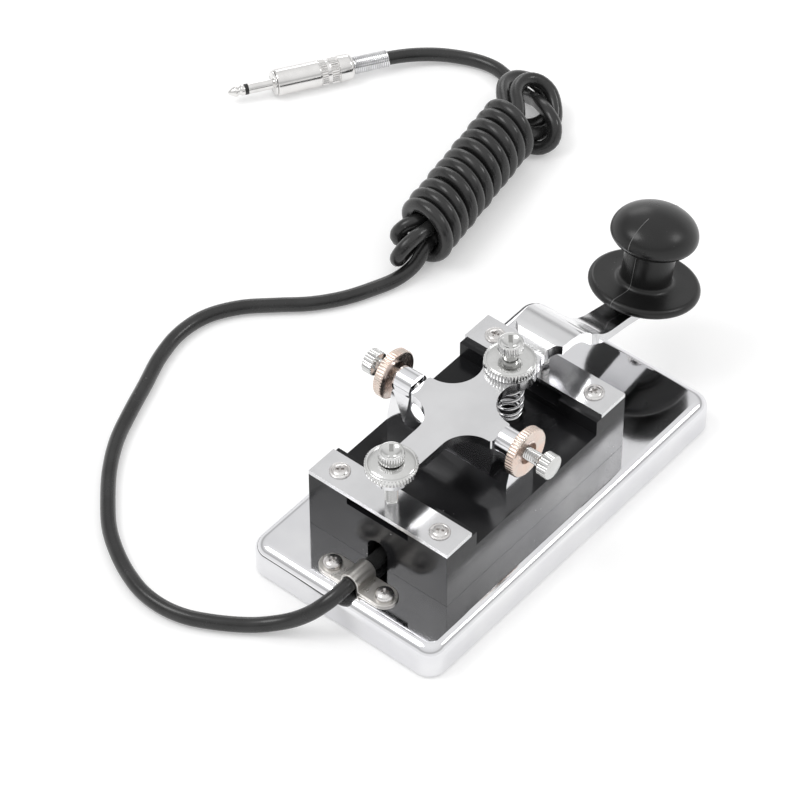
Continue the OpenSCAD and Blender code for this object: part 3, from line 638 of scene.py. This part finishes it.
# Pieces that keep their CAD shape: the edge's radius, the angle from which an edge is rounded, body and look
for node, edge, angle, body, slot_name, look in (
        ("block", 0.3, 28, "base", "block_plastic", BLACK),
        ("rear_strap", 0.35, 28, "base", "strap_plate", STRAP),
        ("front_strap", 0.35, 28, "base", "strap_plate", STRAP),
        ("bearing_bracket", 0.35, 28, "base", "bracket_casting", PLATED),
        ("cord_clamp", 0.22, 28, "base", "bright_nickel", CLAMP),
        ("lever", 0.35, 24, "lever", "lever_plate", LEVER)):
    add(node + "_fine", refined(node, edge, angle), body, look, [node])


# ---------------------------------------------------------------- adjusters

NUT_R, KNURL, BORE_R = 7.6, 0.22, 2.05
HEAD_H, HUB_R = 3.2, 2.2
SEAT = 0.03  # clearance under a nut, so that touching faces do not share a plane
COLLAR_Z = 40.3  # underside of the collar that holds the spring down


def bored(part):
    """part with a hole along Z that clears a screw's thread."""
    return carved(part, [revolve([(0, -1), (BORE_R, -1), (BORE_R, 9), (0, 9)], 48)])


def slotted_head(low, hub, dish, slot_at):
    """A knurled screw head from height low, with a hub below it, a dish in its top and a slot across."""
    top = low + HEAD_H
    head = revolve([
        (0, low - hub), (HUB_R, low - hub), (HUB_R, low - 0.35), (HUB_R + 0.25, low - 0.1),
        (HEAD_R - 0.45, low), (HEAD_R - 0.12, low + 0.12), (HEAD_R, low + 0.3, 1), (HEAD_R, top - 0.35, 1),
        (HEAD_R - 0.15, top - 0.12), (HEAD_R - 0.45, top), (HEAD_R - 0.75, top - 0.03),
        (HEAD_R - 1.1, top - dish * 0.3), (HEAD_R - 1.8, top - dish * 0.7), (HEAD_R - 2.6, top - dish * 0.94),
        (0, top - dish)], 150, teeth=30, depth=KNURL)
    slot = hull([(x * 2.7, y * 0.6, low + slot_at + z) for x in (-1, 1) for y in (-1, 1) for z in (-0.9, 1)])
    return carved(head, [placed(slot, Matrix.Rotation(math.radians(40), 4, "Z"))])


def knurled_nut(h, dish_r, hub_h, shoulder):
    """A knurled disc on a hub, if that has a height; its smooth top falls by the shoulder to its band."""
    r = NUT_R
    top = hub_h + h
    band_top = top - shoulder
    prof = [(0, 0)]
    if hub_h:
        prof += [(4.55, 0), (4.75, 0.15), (4.8, hub_h * 0.8), (5.1, hub_h)]
    prof += [(r - 0.6, hub_h), (r - 0.3, hub_h + 0.08), (r, hub_h + 0.35, 1), (r, band_top - 0.35, 1),
             (r - 0.25, band_top - 0.08), (r - 0.5, band_top)]
    rim = r - 0.5
    for i in range(1, 9):
        a = math.radians(90 * i / 8)
        prof.append((rim - (rim - dish_r - 0.4) * (1 - math.cos(a)), band_top + shoulder * math.sin(a)))
    prof += [(dish_r - 0.3, top - 0.03), (2.3, top - 0.1), (0, top - 0.12)]
    return bored(revolve(prof, 240, teeth=48, depth=KNURL))


def add_turning(name, parts, place, look):
    """Adds a piece that turns on its own axis, on the body that has its node's name."""
    mesh = merged(name + "_fine", [placed(p, place) for p in parts])
    add(name + "_fine", mesh, name, look, [name])


def make_gap_screw():
    place = Matrix.Translation((GAP_X, 0, 0))
    head_z = PLATE_Z + 38
    parts = (slotted_head(head_z, 0.44, 0.75, 2.4), thread(THREAD_R, STRAP_Z + 0.02, head_z))
    add_turning("gap_screw", parts, place, NICKEL)
    add_turning("gap_lock_nut", [knurled_nut(3.5, 3.0, 0.5, 0.9)],
                place @ Matrix.Translation((0, 0, LEVER_TOP + SEAT)), NICKEL)


def make_spring_screw():
    place = Matrix.Translation((SPRING_X, 0, 0))
    head_z = PLATE_Z + 40
    collar = revolve([(0, COLLAR_Z), (3.1, COLLAR_Z), (3.3, COLLAR_Z + 0.15), (3.3, COLLAR_Z + 0.85),
                      (3.1, COLLAR_Z + 1), (0, COLLAR_Z + 1)], 48)
    parts = (slotted_head(head_z, 2.8, 0.85, 2.3), thread(THREAD_R, COLLAR_Z - 4.6, head_z - 2.4), collar)
    add_turning("spring_screw", parts, place, NICKEL)
    add_turning("spring_lock_nut", [knurled_nut(3.4, 3.1, 0.0, 0.5)],
                place @ Matrix.Translation((0, 0, LEVER_TOP + SEAT)), NICKEL)


def make_pivot_screws():
    head = revolve([
        (0, 29.6), (2.9, 29.6), (3.5, 29.7), (HEAD_R, 29.95, 1), (HEAD_R, 32.85, 1), (3.6, 33.05),
        (3.3, 33.2), (0, 33.2)], 150, teeth=30, depth=KNURL)
    rod = thread(THREAD_R, 15.6, 29.9)
    point = revolve([(0, 13.2), (1.3, 15.2), (1.7, 15.7), (0, 15.7)], 28)
    nut = bored(revolve([
        (0, 0), (6.6, 0), (7.3, 0.1), (NUT_R, 0.4, 1), (NUT_R, 2.6, 1), (7.3, 2.9), (6.7, 3.0), (3.5, 2.98),
        (3.35, 2.9), (2.9, 2.2), (0, 2.1)], 240, teeth=48, depth=KNURL))
    # A thin shell in the nut's recess, drawn dark brown as painted shade
    recess = bored(revolve([(0, 2.12), (2.88, 2.22), (3.3, 2.86), (3.2, 2.9), (2.7, 2.3), (0, 2.24)], 48))
    for side, name, nut_in in ((1, "left", 22.8), (-1, "right", 21.6)):
        place = Matrix.Translation((PIVOT_X, 0, PIVOT_Z)) @ Matrix.Rotation(math.radians(-90 * side), 4, "X")
        add_turning(name + "_pivot_screw", (head, rod, point), place, NICKEL)
        body = name + "_lock_nut"
        seat = place @ Matrix.Translation((0, 0, nut_in + SEAT))
        add_turning(body, [nut], seat, COPPER)
        add(body + "_recess", merged(body + "_recess", [placed(recess, seat)]), body, RECESS_SHADE)


SPRING_SEAT = DECK_Z - 1  # bottom of the dip in the block that holds the spring
SPRING_D, WIRE_R, SPRING_TURNS = 8.6, 0.45, 6.5


def make_spring():
    low, high = SPRING_SEAT + 0.47, COLLAR_Z - 0.47
    steps = 24  # points in one turn
    count = int(SPRING_TURNS * steps)
    path = []
    for i in range(count + 1):
        t = i / count
        rise = t - 0.075 * math.sin(TAU * t)
        r = (SPRING_D - 2 * WIRE_R) / 2 - 0.55 * (2 * t - 1) ** 2
        a = TAU * i / steps
        path.append((SPRING_X + r * math.cos(a), r * math.sin(a), low + (high - low) * rise))
    mesh = merged("return_spring_fine", [tube(path, WIRE_R, 12)])
    o = add("return_spring_fine", mesh, "base", SPRING, ["return_spring"], False)
    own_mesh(o)


def make_stud():
    r, groove_r = 1.75, 1.66
    low, high = STRAP_Z + 1, PIVOT_Z - LEVER_T / 2 + 3.1
    prof = [(0, low), (1.2, low), (1.55, low + 0.2), (r, low + 0.6)]
    for i in range(5):
        z = low + 2.2 + 1.7 * i
        prof += [(r, z - 0.25), (groove_r, z - 0.12), (groove_r, z + 0.12), (r, z + 0.25)]
    prof += [(r, high + 0.1), (0, high + 0.1)]
    stud = placed(revolve(prof, 48), Matrix.Translation((STUD_X, 0, 0)))
    add("contact_stud_fine", merged("contact_stud_fine", [stud]), "lever", NICKEL,
        ["contact_stud"])


make_gap_screw()
make_spring_screw()
make_pivot_screws()
make_spring()
make_stud()


# ---------------------------------------------------------------- knob

DROP_FOOT, DROP_FALL, KNOB_ALONG = 59.1, 13.9, 26  # where the lever's tip starts, and the knob along it
NECK_R, SKIRT_R, SKIRT_T, BOSS_H, DOME_R, DOME_Z = 7.6, 16.75, 3.1, 2.3, 13.1, 22.1
KNOB_FRAME = (Matrix.Translation((PIVOT_X + DROP_FOOT, 0, PIVOT_Z - DROP_FALL))
              @ Matrix.Rotation(math.radians(TIP_SLOPE), 4, "Y")
              @ Matrix.Translation((KNOB_ALONG, 0, LEVER_T / 2)))


def knob_profile():
    """The knob's outline from its boss over the skirt and the neck to the top of the dome."""
    top, edge = BOSS_H + SKIRT_T, SKIRT_T / 2
    prof = [(NECK_R, 0), (NECK_R, BOSS_H - 0.5), (NECK_R + 0.15, BOSS_H - 0.15), (NECK_R + 0.5, BOSS_H)]
    prof += [(SKIRT_R - edge - 3, BOSS_H)]
    for i in range(17):
        a = math.radians(-90 + 180 * i / 16)
        prof.append((SKIRT_R - edge + edge * math.cos(a), BOSS_H + edge + edge * math.sin(a)))
    prof += [(SKIRT_R - 4, top - 0.05), (NECK_R + 3.4, top - 0.08), (NECK_R + 2.2, top)]
    for i in range(7):
        a = math.radians(-90 - 90 * i / 6)
        prof.append((NECK_R + 1.7 + 1.7 * math.cos(a), top + 1.7 + 1.7 * math.sin(a)))
    for i in range(13):
        a = math.radians(-54 + 54 * i / 12)
        prof.append((DOME_R * math.cos(a), DOME_Z + 5.6 * math.sin(a)))
    for i in range(1, 25):
        a = math.radians(90 * i / 24)
        prof.append((DOME_R * math.cos(a) if i < 24 else 0, DOME_Z + 7.7 * math.sin(a)))
    return prof


def make_knob():
    body = revolve([(0, 0)] + knob_profile(), 128)
    add("knob_fine", mesh_of("knob_fine", *placed(body, KNOB_FRAME), 40), "lever", KNOB,
        ["knob"])


def make_knob_seam():
    """The mould's parting line: a low ridge down both sides, in the lever's own plane."""
    line = [Vector((r, 0, z)) for r, z in knob_profile()[2:-6]]
    verts, faces = [], []
    for i, p in enumerate(line):
        d = (line[min(i + 1, len(line) - 1)] - line[max(i - 1, 0)]).normalized()
        out = Vector((d.z, 0, -d.x))
        for across, rise in ((-0.10, -0.3), (-0.07, 0.045), (0.07, 0.045), (0.10, -0.3)):
            verts.append(tuple(p + Vector((0, across, 0)) + out * rise))
    for i in range(len(line) - 1):
        for k in range(4):
            j = (k + 1) % 4
            faces.append((4 * i + k, 4 * i + j, 4 * i + 4 + j, 4 * i + 4 + k))
    faces += [(3, 2, 1, 0), tuple(4 * (len(line) - 1) + k for k in range(4))]
    sides = [placed((verts, faces), KNOB_FRAME @ Matrix.Rotation(math.radians(side), 4, "Z"))
             for side in (0, 180)]
    add("knob_seam", merged("knob_seam", sides), "lever", SEAM)


make_knob()
make_knob_seam()


# ---------------------------------------------------------------- CAD nodes that stay as they are

for node, mat in (("rubber_feet", RUBBER), ("base_screws", ZINC), ("bracket_screws", ZINC),
                  ("bracket_lug", BRASS), ("contact_lug", BRASS), ("contact_nut", ZINC),
                  ("bracket_wire", BROWN), ("contact_wire", RED), ("lead_in", CORD),
                  ("knob_insert", BRASS), ("knob_screw", ZINC)):
    NODES[node].data.materials.clear()
    NODES[node].data.materials.append(mat)


# ---------------------------------------------------------------- floor and light

def make_stage():
    bpy.ops.mesh.primitive_plane_add(size=8, location=(0, 0, 0))
    floor = bpy.context.object
    floor.name = "floor"
    paint = material("floor", (0.80, 0.80, 0.80), (0.78, 0.78, 0.78), 0, (0.75, 0.85), 3, 0.01, 60)
    glow = paint.node_tree.nodes["Principled BSDF"].inputs
    glow["Emission Color"].default_value = (1, 1, 1, 1)
    glow["Emission Strength"].default_value = 0.26
    floor.data.materials.append(paint)
    world = bpy.data.worlds.new("studio")
    scene.world = world
    world.use_nodes = True
    nodes, links = world.node_tree.nodes, world.node_tree.links
    back = nodes["Background"]
    place = nodes.new("ShaderNodeTexCoord")
    split = nodes.new("ShaderNodeSeparateXYZ")
    ramp = nodes.new("ShaderNodeValToRGB")
    links.new(place.outputs["Generated"], split.inputs[0])
    links.new(split.outputs["Z"], ramp.inputs["Fac"])
    links.new(ramp.outputs["Color"], back.inputs["Color"])
    # Bright above and below, with a grey band near the horizon; the ramp's two own ends stay at 0 and 1
    for end in ramp.color_ramp.elements:
        end.color = (1, 1, 1, 1)
    for height, grey in ((0.3, 0.95), (0.44, 0.55), (0.52, 0.50), (0.64, 0.80)):
        ramp.color_ramp.elements.new(height).color = (grey, grey, grey, 1)
    back.inputs["Strength"].default_value = 1.05

    def light(name, place_at, size, power):
        data = bpy.data.lights.new(name, "AREA")
        data.shape = "RECTANGLE"
        data.size, data.size_y = size
        data.energy = power
        o = bpy.data.objects.new(name, data)
        o.location = place_at
        o.rotation_euler = (Vector((0, 0.03, 0)) - Vector(place_at)).to_track_quat("-Z", "Y").to_euler()
        scene.collection.objects.link(o)

    light("key", (-0.5, 0.6, 1.3), (0.6, 0.6), 5)
    light("fill", (0.8, -0.7, 1.0), (0.4, 0.25), 2.5)
    light("rim", (0.9, 0.9, 0.6), (0.5, 0.3), 1)
    scene.view_settings.view_transform = "Standard"


make_stage()
